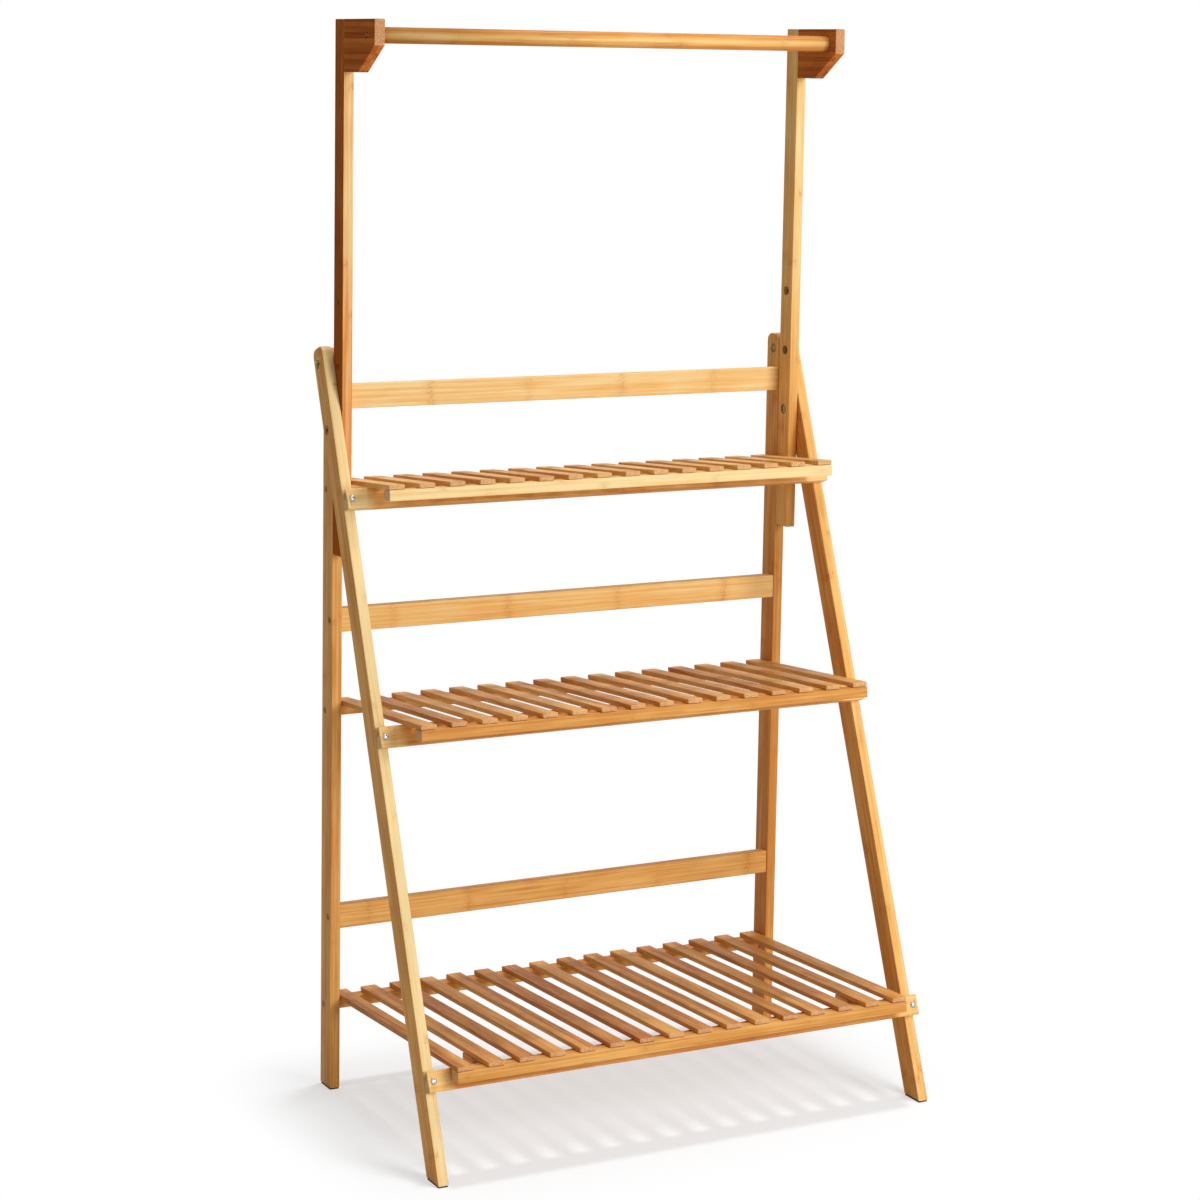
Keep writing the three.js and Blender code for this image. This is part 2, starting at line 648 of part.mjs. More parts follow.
function hangingRod() {
  const end = POST_INNER - SEAT_GAP;
  const rod = roundX(-end, end, ROD_Y, ROD_HEIGHT, ROD_RADIUS, ROD_SIDES);
  const depth = reachBehindPost(ROD_SCREW_LENGTH, end);
  const holes = Object.values(SIDES).map((side) => endHole(side, end, depth, ROD_Y, ROD_HEIGHT));
  return part("hanging_rod", cut(rod, holes), BAMBOO);
}

// The nut in the hanger post's inner recess, in one solid with the inner half of its bolt.
function hangerNut(sideName, side) {
  const seat = POST_INNER + RECESS_DEPTH - SEAT_GAP;
  const shape = nutShape().add(upright(BOLT_RADIUS, seat - POST_OUTER, NUT_HEIGHT, BOLT_SIDES));
  const place = [side * seat, HANGER_BOLT_Y, HANGER_BOLT_HEIGHT];
  return fastener(`hanger_nut_${sideName}`, shape, place, [-side, 0, 0]);
}

function hanger() {
  const group = new THREE.Group();
  for (const [sideName, side] of Object.entries(SIDES)) {
    group.add(hangerPost(sideName, side), hangerBracket(sideName, side), hangerNut(sideName, side));
    const rodSeat = side * (POST_OUTER - RECESS_DEPTH + SEAT_GAP);
    const rodScrew = screwShape(ROD_SCREW_LENGTH);
    group.add(fastener(`rod_screw_${sideName}`, rodScrew, [rodSeat, ROD_Y, ROD_HEIGHT], [side, 0, 0]));
    for (const [level, z] of Object.entries(bracketScrewHeights())) {
      const place = [side * (POST_INNER + BOARD / 2), HANGER_BACK - RECESS_DEPTH + SEAT_GAP, z];
      const name = `bracket_screw_${sideName}_${level}`;
      group.add(fastener(name, screwShape(BRACKET_SCREW_LENGTH), place, [0, 1, 0]));
    }
  }
  group.add(hangingRod());
  return group;
}

// The whole stand, moved so that its origin lies under the middle of its depth.
function plantLadderStand() {
  const stand = new THREE.Group();
  stand.add(rearFrame(), frontFrame(), frontPads(), hanger());
  for (const [tierName, tier] of Object.entries(TIERS)) stand.add(shelf(tierName, tier));
  const bounds = new THREE.Box3().setFromObject(stand, true);
  stand.position.y = -(bounds.min.y + bounds.max.y) / 2;
  return stand;
}

export default plantLadderStand();
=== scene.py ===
"""Looks of the folding plant ladder stand: varnished bamboo, plated fasteners and rubber pads.

Lengths are in metres in the row frame: +X to the viewer's right, +Y to the back, +Z up.
"""

import json
import math
from collections import namedtuple

import bmesh
import bpy
from mathutils import Matrix, Vector


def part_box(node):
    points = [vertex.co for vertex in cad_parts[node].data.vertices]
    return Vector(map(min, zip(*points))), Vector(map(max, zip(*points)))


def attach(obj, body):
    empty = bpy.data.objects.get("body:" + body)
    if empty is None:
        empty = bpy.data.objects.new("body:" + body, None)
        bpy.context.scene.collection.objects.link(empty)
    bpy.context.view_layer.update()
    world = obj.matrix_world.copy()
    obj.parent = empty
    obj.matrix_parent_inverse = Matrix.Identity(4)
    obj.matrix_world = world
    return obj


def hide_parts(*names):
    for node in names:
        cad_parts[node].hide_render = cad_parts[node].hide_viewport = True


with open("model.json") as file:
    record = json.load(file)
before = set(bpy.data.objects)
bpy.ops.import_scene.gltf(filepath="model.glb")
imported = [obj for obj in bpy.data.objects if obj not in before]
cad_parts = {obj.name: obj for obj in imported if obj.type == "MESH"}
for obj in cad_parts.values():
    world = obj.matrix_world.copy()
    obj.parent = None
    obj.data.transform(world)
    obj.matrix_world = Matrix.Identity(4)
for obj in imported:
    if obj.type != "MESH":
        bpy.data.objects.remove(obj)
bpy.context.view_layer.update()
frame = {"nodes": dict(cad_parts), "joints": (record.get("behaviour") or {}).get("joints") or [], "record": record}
nodes = frame["nodes"]

SIDES = {"left": -1, "right": 1}
TIERS = ("top", "middle", "bottom")
LEVELS = ("upper", "lower")
LEG_ANGLE = math.radians(21)

X = (1, 0, 0)
Y = (0, 1, 0)
Z = (0, 0, 1)
LEG_UP = (0, math.sin(LEG_ANGLE), math.cos(LEG_ANGLE))
LEG_BACKWARD = (0, math.cos(LEG_ANGLE), -math.sin(LEG_ANGLE))
LEG_FORWARD = (0, -math.cos(LEG_ANGLE), math.sin(LEG_ANGLE))


# ---------------------------------------------------------------- shader graphs


class Graph:
    """A short way to add and link the shader nodes of a material or a world, emptied first."""

    def __init__(self, owner):
        owner.use_nodes = True
        self.tree = owner.node_tree
        self.tree.nodes.clear()

    def add(self, kind, **settings):
        node = self.tree.nodes.new(kind)
        for key, value in settings.items():
            setattr(node, key, value)
        return node

    def link(self, source, target):
        self.tree.links.new(source, target)

    def feed(self, socket, value):
        """Gives a socket a link or a constant."""
        if isinstance(value, bpy.types.NodeSocket):
            self.link(value, socket)
        else:
            socket.default_value = value

    def math(self, operation, a, b=0.0, c=0.0, clamp=False):
        node = self.add("ShaderNodeMath", operation=operation, use_clamp=clamp)
        for socket, value in zip(node.inputs, (a, b, c)):
            self.feed(socket, value)
        return node.outputs[0]

    def times(self, a, b):
        return self.math("MULTIPLY", a, b)

    def away(self, value, place):
        """How far a value is from a place, either way."""
        return self.math("ABSOLUTE", self.math("SUBTRACT", value, place))

    def dot(self, vector, axis):
        node = self.add("ShaderNodeVectorMath", operation="DOT_PRODUCT")
        self.link(vector, node.inputs[0])
        node.inputs[1].default_value = axis
        return node.outputs["Value"]

    def combine(self, x, y, z):
        node = self.add("ShaderNodeCombineXYZ")
        for socket, value in zip(node.inputs, (x, y, z)):
            self.feed(socket, value)
        return node.outputs[0]

    def white(self, x, y, z):
        """A number from 0 to 1 that jumps from one whole-numbered place to the next."""
        node = self.add("ShaderNodeTexWhiteNoise", noise_dimensions="3D")
        self.link(self.combine(x, y, z), node.inputs["Vector"])
        return node.outputs["Value"]

    def noise(self, x, y, z, detail, roughness=0.55):
        node = self.add("ShaderNodeTexNoise", noise_dimensions="3D")
        self.link(self.combine(x, y, z), node.inputs["Vector"])
        node.inputs["Scale"].default_value = 1.0
        node.inputs["Detail"].default_value = detail
        node.inputs["Roughness"].default_value = roughness
        return node.outputs["Fac"]

    def spread(self, value, low, high, to_low=0.0, to_high=1.0, smooth=True):
        """Maps low to to_low and high to to_high, and holds both ends."""
        node = self.add("ShaderNodeMapRange")
        node.interpolation_type = "SMOOTHSTEP" if smooth else "LINEAR"
        for socket, number in zip(node.inputs, (value, low, high, to_low, to_high)):
            self.feed(socket, number)
        return node.outputs["Result"]

    def mix(self, factor, a, b, blend="MIX"):
        node = self.add("ShaderNodeMix", data_type="RGBA", blend_type=blend)
        self.feed(node.inputs[0], factor)
        self.feed(node.inputs[6], a)
        self.feed(node.inputs[7], b)
        return node.outputs[2]


def rgb(red, green, blue):
    """An sRGB colour, 0 to 255, as a linear one."""
    out = []
    for value in (red, green, blue):
        value /= 255
        out.append(value / 12.92 if value <= 0.04045 else ((value + 0.055) / 1.055) ** 2.4)
    return (*out, 1.0)


def material(name):
    """A new material with a principled shader."""
    made = bpy.data.materials.new(name)
    graph = Graph(made)
    output = graph.add("ShaderNodeOutputMaterial")
    shader = graph.add("ShaderNodeBsdfPrincipled")
    graph.link(shader.outputs[0], output.inputs["Surface"])
    return made, graph, shader


def plain_look(name, colour, roughness, metallic=0.0):
    made, _, shader = material(name)
    shader.inputs["Base Color"].default_value = colour
    shader.inputs["Roughness"].default_value = roughness
    shader.inputs["Metallic"].default_value = metallic
    return made


# ---------------------------------------------------------------- bamboo

# Noises of the grain: scales along the fibres and square to them, detail and roughness.
Noise = namedtuple("Noise", "lengthwise crosswise detail roughness", defaults=(0.55,))
FIBRE = Noise(9.0, 1300.0, 4.0, 0.6)
STREAK = Noise(5.0, 300.0, 2.0)
CLOUD = Noise(14.0, 50.0, 2.0)
RIPPLE = Noise(30.0, 150.0, 3.0)
SPECKLE = Noise(330.0, 420.0, 2.0)
END_DOTS = Noise(50.0, 1100.0, 1.0)

# How much three of them move the tone, and the middle part of a noise that does so.
TONE_NOISES = ((FIBRE, 0.24), (STREAK, 0.32), (CLOUD, 0.16))
NOISE_RANGE = (0.3, 0.7)

SQUARE_ENOUGH = (0.75, 0.92)  # cosines from which a face begins to be square to an axis, and is

GLUE_WANDER = 0.0008  # how far the glue lines stray across the board
GLUE_WANDER_SCALE = 3.0
GLUE_WIDTH = 0.0005
GLUE_STRENGTH = 0.3

KNUCKLE_BEND = 0.012  # how far a band strays along the board
KNUCKLE_CORE = (0.002, 0.0075)  # where the band's dark middle begins and ends to fade
KNUCKLE_HALO = 0.016
HALO_STRENGTH = 0.3
KNUCKLE_PATCHES = (0.42, 0.62)  # the part of the speckle noise between bare and brown
WEAKEST_KNUCKLE = 0.35
FIRST_KNUCKLE = 40.0  # keeps the count of knuckles above 0 on every board
PITCH_SALT, START_SALT, WEIGHT_SALT = 3.0, 5.0, 9.0  # set the knuckles' random numbers apart

MARK_TINT = (0.7, 0.38, 0.2, 1.0)  # what a glue line or a knuckle multiplies the colour by
END_LIGHT = rgb(236, 190, 144)
END_DARK = rgb(190, 132, 86)
END_PORES = (0.4, 0.6)
END_SHARE = 0.7

# Painted shade in holes and other hollows, from ambient occlusion, mixed with the bore's darker raw wood:
HOLE_WOOD_AND_SHADE = rgb(88, 42, 18)
HOLE_REACH = 0.012  # how far the board is felt for
HOLE_OPENNESS = (0.35, 0.85)  # how open a place is where it is darkest, and where it is plain
HOLE_SHARE = 0.7
HOLE_SAMPLES = 8

ROUGHNESS = (0.42, 0.55)
ROUGHNESS_FIBRES = (0.2, 0.8)  # the fibres' values at which the roughness is the least and the most
BUMP_STRENGTH = 0.1
BUMP_HEIGHT = 0.0003
MARK_DIP = 0.5  # how deep a glue line or a knuckle is, where the fibres are 1

# How the tone changes with the distance from a place on an axis: the distances at which the
# change begins and ends, and the tones there. On the rod, the front rails and the left hanger
# post this change is painted light and shade.
Drift = namedtuple("Drift", "axis middle reach tones")


def bamboo(
    name,
    layout,
    strip,
    layer,
    knuckles,
    seed,
    colours,
    drift,
    strips_differ,
    side_tone=None,
    deeper=None,
    gloss=0.1,
    bored=False,
):
    """Laminated bamboo: glued strips of slightly different tones, fibres and darker knuckles.

    layout is the axes along, across and through the board. strip and layer are each a width and
    the place of one glue line, across and through the board. knuckles are the shortest and the
    longest pitch of the knuckles and their strength. colours are the light, the middle and the
    dark one, and a tone among them is a number from 0 to 1. drift is how the tone changes over
    the board, on some boards as painted light and shade, strips_differ the range of the strips'
    own tones, and side_tone the tone of the faces square to the axis through the board, which is
    darker partly by painted shade. deeper is a height, a reach and what the tone gains at that
    height. gloss is the specular level, and a bored board is darker in its holes and hollows,
    partly from the bore's darker raw wood and partly from painted shade.
    """
    made, graph, shader = material(name)
    times = graph.times
    place = graph.add("ShaderNodeTexCoord").outputs["Object"]
    along, across, through = (graph.dot(place, axis) for axis in layout)

    def grain(noise):
        square = (times(across, noise.crosswise), times(through, noise.crosswise))
        return graph.noise(times(along, noise.lengthwise), *square, noise.detail, noise.roughness)

    # Glue lines wander very slightly along the board.
    wander = graph.noise(times(along, GLUE_WANDER_SCALE), seed, 0.0, detail=0.0)
    strip_width, strip_line = strip
    layer_width, layer_line = layer
    shift = graph.math("MULTIPLY_ADD", wander, GLUE_WANDER, -strip_line - GLUE_WANDER / 2)
    strips = graph.math("DIVIDE", graph.math("ADD", across, shift), strip_width)
    layers = graph.math("DIVIDE", graph.math("SUBTRACT", through, layer_line), layer_width)
    strip_id = graph.math("FLOOR", strips)
    layer_id = graph.math("FLOOR", layers)

    normal = graph.add(
        "ShaderNodeVectorTransform",
        vector_type="NORMAL",
        convert_from="WORLD",
        convert_to="OBJECT",
    )
    graph.link(graph.add("ShaderNodeNewGeometry").outputs["Normal"], normal.inputs[0])

    def faces(axis):
        """1 on the faces square to an axis."""
        cosine = graph.math("ABSOLUTE", graph.dot(normal.outputs[0], axis))
        return graph.spread(cosine, *SQUARE_ENOUGH)

    # The tone: the board's drift, then the strip's own and the grain's.
    distance = graph.away(graph.dot(place, drift.axis), drift.middle)
    tone = graph.spread(distance, *drift.reach, *drift.tones)
    if deeper:
        height, reach, gain = deeper
        more = graph.spread(graph.away(graph.dot(place, Z), height), 0.0, reach, gain, 0.0)
        tone = graph.math("ADD", tone, more)
    # Faces square to the axis through the board take side_tone: partly the boards' own tone, partly painted shade.
    if side_tone is not None:
        more = graph.math("SUBTRACT", side_tone, tone)
        tone = graph.math("MULTIPLY_ADD", more, faces(layout[2]), tone)
    own = graph.math("SUBTRACT", graph.white(strip_id, layer_id, seed), 0.5)
    tone = graph.math("MULTIPLY_ADD", own, strips_differ, tone)
    grains = {noise: grain(noise) for noise, _ in TONE_NOISES}
    for noise, share in TONE_NOISES:
        swing = graph.math("SUBTRACT", graph.spread(grains[noise], *NOISE_RANGE), 0.5)
        tone = graph.math("MULTIPLY_ADD", swing, share, tone)
    tone = graph.math("MINIMUM", graph.math("MAXIMUM", tone, 0.0), 1.0)
    light, middling, dark = colours
    colour = graph.mix(graph.spread(tone, 0.0, 0.5, smooth=False), light, middling)
    colour = graph.mix(graph.spread(tone, 0.5, 1.0, smooth=False), colour, dark)

    part = graph.math("FRACT", strips)
    edge = graph.math("MINIMUM", part, graph.math("SUBTRACT", 1.0, part))
    line = graph.spread(times(edge, strip_width), 0.0, GLUE_WIDTH, GLUE_STRENGTH, 0.0)

    # Knuckles: uneven brown bands across each strip, each bent and weighed its own way.
    shortest, longest, strength = knuckles
    own = graph.white(strip_id, layer_id, seed + PITCH_SALT)
    pitch = graph.math("MULTIPLY_ADD", own, longest - shortest, shortest)
    bent = graph.math("MULTIPLY_ADD", grain(RIPPLE), KNUCKLE_BEND, along)
    start = graph.math("ADD", graph.white(strip_id, layer_id, seed + START_SALT), FIRST_KNUCKLE)
    turn = graph.math("ADD", graph.math("DIVIDE", bent, pitch), start)
    off = times(graph.away(graph.math("FRACT", turn), 0.5), pitch)
    which = graph.white(graph.math("FLOOR", turn), strip_id, seed + WEIGHT_SALT)
    weight = graph.spread(which, 0.0, 1.0, WEAKEST_KNUCKLE, 1.0, smooth=False)
    patch = graph.spread(grain(SPECKLE), *KNUCKLE_PATCHES)
    core = graph.spread(off, *KNUCKLE_CORE, 1.0, 0.0)
    halo = graph.spread(off, 0.0, KNUCKLE_HALO, HALO_STRENGTH, 0.0)
    band = graph.math("MAXIMUM", times(core, patch), halo)
    mark = graph.math("MAXIMUM", times(times(band, weight), strength), line, clamp=True)
    colour = graph.mix(mark, colour, MARK_TINT, "MULTIPLY")

    # End grain is dotted.
    cut = graph.mix(graph.spread(grain(END_DOTS), *END_PORES), END_LIGHT, END_DARK)
    colour = graph.mix(times(faces(layout[0]), END_SHARE), colour, cut)
    # Painted shade in the holes and hollows, with the bore's darker raw wood.
    if bored:
        hollow = graph.add("ShaderNodeAmbientOcclusion", samples=HOLE_SAMPLES, only_local=True)
        hollow.inputs["Distance"].default_value = HOLE_REACH
        depth = graph.spread(hollow.outputs["AO"], *HOLE_OPENNESS, HOLE_SHARE, 0.0)
        colour = graph.mix(depth, colour, HOLE_WOOD_AND_SHADE)
    graph.link(colour, shader.inputs["Base Color"])

    fibre = grains[FIBRE]
    roughness = graph.spread(fibre, *ROUGHNESS_FIBRES, *ROUGHNESS)
    graph.link(roughness, shader.inputs["Roughness"])
    bump = graph.add("ShaderNodeBump")
    bump.inputs["Strength"].default_value = BUMP_STRENGTH
    bump.inputs["Distance"].default_value = BUMP_HEIGHT
    graph.link(graph.math("SUBTRACT", fibre, times(mark, MARK_DIP)), bump.inputs["Height"])
    graph.link(bump.outputs[0], shader.inputs["Normal"])
    shader.inputs["Specular IOR Level"].default_value = gloss
    return made


# The light, the middle and the dark colour.
GOLDEN = (rgb(247, 218, 158), rgb(240, 184, 106), rgb(206, 134, 60))
TOASTED = (rgb(240, 188, 110), rgb(216, 150, 74), rgb(170, 98, 40))
# The left hanger post's colours: the dark one is painted shade on the post's outer face.
SHADED = (rgb(247, 216, 154), rgb(234, 158, 88), rgb(170, 91, 36))
# The brackets' colours are dark partly from their own tone and partly from painted shade.
CARAMEL = (rgb(214, 126, 60), rgb(182, 98, 44), rgb(148, 75, 31))

# The axes along, across and through a board.
ALONG_X = (X, Z, Y)
ALONG_Y = (Y, X, Z)
ALONG_Z = (Z, Y, X)
ALONG_LEG = (LEG_UP, LEG_BACKWARD, X)
ALONG_FRONT_RAIL = (X, LEG_UP, LEG_BACKWARD)
ALONG_BRACKET = (Y, Z, X)

# Widths of strips or layers, and the place of one glue line. An upright board is two layers
# thick, and a whole number of layers lies between the middles of the left and the right one.
POST_MIDDLE = 0.3286
POST_LAYERS = (2 * POST_MIDDLE / 91, POST_MIDDLE)
LEG_MIDDLE = 0.343
LEG_LAYERS = (2 * LEG_MIDDLE / 95, LEG_MIDDLE)
SLAT_PITCH = 0.0412667
FIRST_SLAT_MIDDLE = -0.30975
SLAT_STRIPS = (SLAT_PITCH / 3, FIRST_SLAT_MIDDLE)
WHOLE_BACK_RAILS = (0.1, -0.04)  # lines between the rails, so that each rail is one strip
WHOLE_FRONT_RAILS = (0.1, 0.01)
ONE_ROD_LAYER = (0.3, 0.1)
ONE_SLAT_LAYER = (0.3, 0.05)

LEFT_POST_OUTSIDE = -0.3356
ROD_MIDDLE = 1.36205

POST = dict(
    layout=ALONG_Z,
    strip=(0.0165, 0.18398),
    layer=POST_LAYERS,
    knuckles=(0.2, 0.3, 0.7),
    seed=2.0,
)

BAMBOO_RAIL = bamboo(
    "bamboo_rail",
    layout=ALONG_X,
    strip=WHOLE_BACK_RAILS,
    layer=(0.0072, 0.17648),
    knuckles=(0.13, 0.17, 0.6),
    seed=1.0,
    colours=GOLDEN,
    drift=Drift(Z, 0.95, (0.0, 0.75), (0.25, 0.72)),
    strips_differ=0.15,
)
BAMBOO_FRONT_RAIL = bamboo(
    "bamboo_front_rail",
    layout=ALONG_FRONT_RAIL,
    strip=WHOLE_FRONT_RAILS,
    layer=(0.0072, -0.19578),
    knuckles=(0.13, 0.17, 0.5),
    seed=6.0,
    colours=GOLDEN,
    # Painted shadow of the lips and slats over the rails' middle; the rails' ends stay lighter.
    drift=Drift(X, 0.0, (0.31, 0.325), (0.82, 0.3)),
    strips_differ=0.15,
)
BAMBOO_BAR = bamboo(
    "bamboo_bar",
    layout=ALONG_X,
    strip=(0.0078, 0.0),
    layer=(0.0065, 0.0),
    knuckles=(0.16, 0.24, 0.5),
    seed=7.0,
    colours=GOLDEN,
    drift=Drift(Z, 0.8, (0.0, 0.28), (0.1, 0.85)),
    strips_differ=0.2,
)
BAMBOO_ROD = bamboo(
    "bamboo_rod",
    layout=ALONG_X,
    strip=(0.0066, 0.35537),
    layer=ONE_ROD_LAYER,
    knuckles=(0.14, 0.2, 0.5),
    seed=8.0,
    colours=GOLDEN,
    # Painted highlight along the rod's middle height, and painted shade on its upper and lower sides.
    drift=Drift(Z, ROD_MIDDLE, (0.0, 0.007), (0.34, 0.92)),
    strips_differ=0.1,
)
BAMBOO_POST = bamboo(
    "bamboo_post",
    **POST,
    colours=GOLDEN,
    drift=Drift(Z, 1.3, (0.0, 0.6), (0.25, 0.8)),
    strips_differ=0.25,
    side_tone=0.88,
)
BAMBOO_DEEP_POST = bamboo(
    "bamboo_deep_post",
    **POST,
    colours=GOLDEN,
    drift=Drift(Z, 0.95, (0.0, 0.45), (0.75, 1.0)),
    strips_differ=0.25,
)
BAMBOO_HANGER_POST = bamboo(
    "bamboo_hanger_post",
    **POST,
    colours=GOLDEN,
    drift=Drift(Z, 1.3, (0.0, 0.6), (0.28, 0.8)),
    strips_differ=0.2,
    side_tone=0.58,
    gloss=0.04,
    bored=True,
)
BAMBOO_SHADED_POST = bamboo(
    "bamboo_shaded_post",
    **POST,
    colours=SHADED,
    # Painted shade on the post's outer face, which takes the darkest tone.
    drift=Drift(X, LEFT_POST_OUTSIDE, (0.0, 0.001), (1.0, 0.2)),
    strips_differ=0.15,
    deeper=(0.86, 0.4, 0.36),
    gloss=0.0,
    bored=True,
)
BAMBOO_LEG = bamboo(
    "bamboo_leg",
    layout=ALONG_LEG,
    strip=(0.0165, -0.17248),
    layer=LEG_LAYERS,
    knuckles=(0.2, 0.3, 0.7),
    seed=3.0,
    colours=GOLDEN,
    drift=Drift(X, -LEG_MIDDLE, (0.0, 0.6), (0.02, 0.4)),
    strips_differ=0.15,
    side_tone=0.76,
    gloss=0.05,
)
BAMBOO_SLAT = bamboo(
    "bamboo_slat",
    layout=ALONG_Y,
    strip=SLAT_STRIPS,
    layer=ONE_SLAT_LAYER,
    knuckles=(0.17, 0.28, 0.6),
    seed=4.0,
    colours=TOASTED,
    drift=Drift(Z, 0.8, (0.0, 0.7), (0.32, 0.58)),
    strips_differ=0.5,
    gloss=0.14,
)
BAMBOO_BRACKET = bamboo(
    "bamboo_bracket",
    layout=ALONG_BRACKET,
    strip=(0.0065, 0.0),
    layer=POST_LAYERS,
    knuckles=(0.1, 0.2, 0.4),
    seed=5.0,
    colours=CARAMEL,
    drift=Drift(Z, 1.36, (0.0, 0.1), (0.45, 0.55)),
    strips_differ=0.6,
    gloss=0.0,
)

ZINC = plain_look("plated_screws", rgb(186, 188, 192), 0.3, metallic=1.0)
BRASSY = plain_look("yellow_plated_bolts", rgb(126, 104, 56), 0.36, metallic=1.0)
RUBBER = plain_look("pad_rubber", rgb(34, 30, 27), 0.8)


# ---------------------------------------------------------------- meshes

NORMAL_WEIGHT = 100  # the most that area can weigh in weighted normals
BEVEL_STEPS = 3
ROUND_STEPS = 32


def finish_mesh(name, mesh, look, body):
    """Links a mesh as a piece that rides on a body."""
    mesh.materials.append(look)
    piece = bpy.data.objects.new(name, mesh)
    bpy.context.scene.collection.objects.link(piece)
    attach(piece, body)
    return piece


def smooth_faces(mesh):
    for polygon in mesh.polygons:
        polygon.use_smooth = True


def crease(mesh, degrees):
    """Marks the edges sharper than the angle, so that the rest shade smooth."""
    limit = math.radians(degrees)
    shape = bmesh.new()
    shape.from_mesh(mesh)
    for edge in shape.edges:
        if len(edge.link_faces) == 2:
            edge.smooth = edge.calc_face_angle(0.0) < limit
    shape.to_mesh(mesh)
    shape.free()


def weigh_normals(item, keep_sharp=True):
    """Keeps big flat faces flat and shades the small rounding faces between them."""
    normals = item.modifiers.new("normals", "WEIGHTED_NORMAL")
    normals.keep_sharp = keep_sharp
    normals.weight = NORMAL_WEIGHT


def as_mesh(shape, name):
    """Turns a bmesh into a mesh and frees it."""
    mesh = bpy.data.meshes.new(name)
    shape.to_mesh(mesh)
    shape.free()
    return mesh


def bevel(shape, edges, width):
    """Rounds edges of a bmesh."""
    bmesh.ops.bevel(
        shape,
        geom=edges,
        offset=width,
        offset_type="OFFSET",
        segments=BEVEL_STEPS,
        profile=0.5,
        affect="EDGES",
    )


def turned(profile):
    """A closed body of revolution about Z from (radius, height) pairs from axis to axis."""
    shape = bmesh.new()
    rings = []
    for radius, height in profile:
        if radius == 0:
            rings.append([shape.verts.new((0, 0, height))])
            continue
        ring = []
        for i in range(ROUND_STEPS):
            angle = 2 * math.pi * i / ROUND_STEPS
            corner = (radius * math.cos(angle), radius * math.sin(angle), height)
            ring.append(shape.verts.new(corner))
        rings.append(ring)
    for lower, upper in zip(rings, rings[1:]):
        for i in range(ROUND_STEPS):
            j = (i + 1) % ROUND_STEPS
            around = ((lower, i), (lower, j), (upper, j), (upper, i))
            corners = list(dict.fromkeys(ring[k % len(ring)] for ring, k in around))
            if len(corners) > 2:
                shape.faces.new(corners)
    bmesh.ops.recalc_face_normals(shape, faces=list(shape.faces))
    return shape


def prism(low, high):
    """A closed solid between two like outlines, each a list of points in order."""
    shape = bmesh.new()
    lower = [shape.verts.new(point) for point in low]
    upper = [shape.verts.new(point) for point in high]
    shape.faces.new(lower)
    shape.faces.new(upper)
    for i in range(len(low)):
        j = (i + 1) % len(low)
        shape.faces.new((lower[i], lower[j], upper[j], upper[i]))
    bmesh.ops.recalc_face_normals(shape, faces=list(shape.faces))
    return shape


def carve(shape, cutter):
    """One bmesh less another, as a mesh."""
    objects = []
    for source in (shape, cutter):
        item = bpy.data.objects.new("carving", as_mesh(source, "carving"))
        bpy.context.scene.collection.objects.link(item)
        objects.append(item)
    wood, tool = objects
    modifier = wood.modifiers.new("cut", "BOOLEAN")
    modifier.operation = "DIFFERENCE"
    modifier.solver = "EXACT"
    modifier.object = tool
    evaluated = wood.evaluated_get(bpy.context.evaluated_depsgraph_get())
    mesh = bpy.data.meshes.new_from_object(evaluated)
    for item in objects:
        old = item.data
        bpy.data.objects.remove(item)
        bpy.data.meshes.remove(old)
    if not mesh.polygons:
        raise RuntimeError("a cut left nothing")
    return mesh


# ---------------------------------------------------------------- shelves

SLAT_COUNT = 16
SLAT_WIDTH = 0.0215
SLAT_THICKNESS = 0.006
EDGE_ROUND = 0.0012
BOX_FACES = 6


def flatten_box(mesh):
    """Gives a rounded box's six big faces flat normals, and blends the rounding between them."""
    mesh.update()
    smooth_faces(mesh)
    areas = sorted((polygon.area for polygon in mesh.polygons), reverse=True)
    smallest = areas[BOX_FACES - 1] / 2
    flat = {}
    for polygon in mesh.polygons:
        if polygon.area >= smallest:
            for vertex in polygon.vertices:
                flat[vertex] = polygon.normal.copy()
    corners = [loop.vertex_index for loop in mesh.loops]
    mesh.normals_split_custom_set([flat.get(i, mesh.vertices[i].normal) for i in corners])


def rounded_bar(name, low, high, place, look, body):
    """A bamboo box with rounded edges from low to high in the frame of place."""
    low, high = Vector(low), Vector(high)
    shape = bmesh.new()
    bmesh.ops.create_cube(shape, size=1.0)
    middle, size = (low + high) / 2, high - low
    for vertex in shape.verts:
        vertex.co = middle + Vector(vertex.co[i] * size[i] for i in range(3))
    bevel(shape, list(shape.edges), EDGE_ROUND)
    shape.transform(place)
    mesh = as_mesh(shape, name)
    flatten_box(mesh)
    return finish_mesh(name, mesh, look, body)


def shelf_place(tier):
    """The shelf's own frame: its origin on the pivot, its Y along the slats."""
    joint = next(j for j in frame["joints"] if j["name"] == f"shelf_{tier}_flip")
    mount = next(m for m in frame["record"]["mounts"] if m["name"] == f"shelf_{tier}_surface")
    tilt = math.atan2(mount["axis"][1], mount["axis"][2])
    return Matrix.Translation(joint["pos_m"]) @ Matrix.Rotation(-tilt, 4, "X")


def local_box(node, place):
    """The lowest and highest corners of a CAD node in another frame."""
    back = place.inverted()
    corners = [back @ v.co for v in nodes[node].data.vertices]
    low = Vector(min(c[i] for c in corners) for i in range(3))
    high = Vector(max(c[i] for c in corners) for i in range(3))
    return low, high


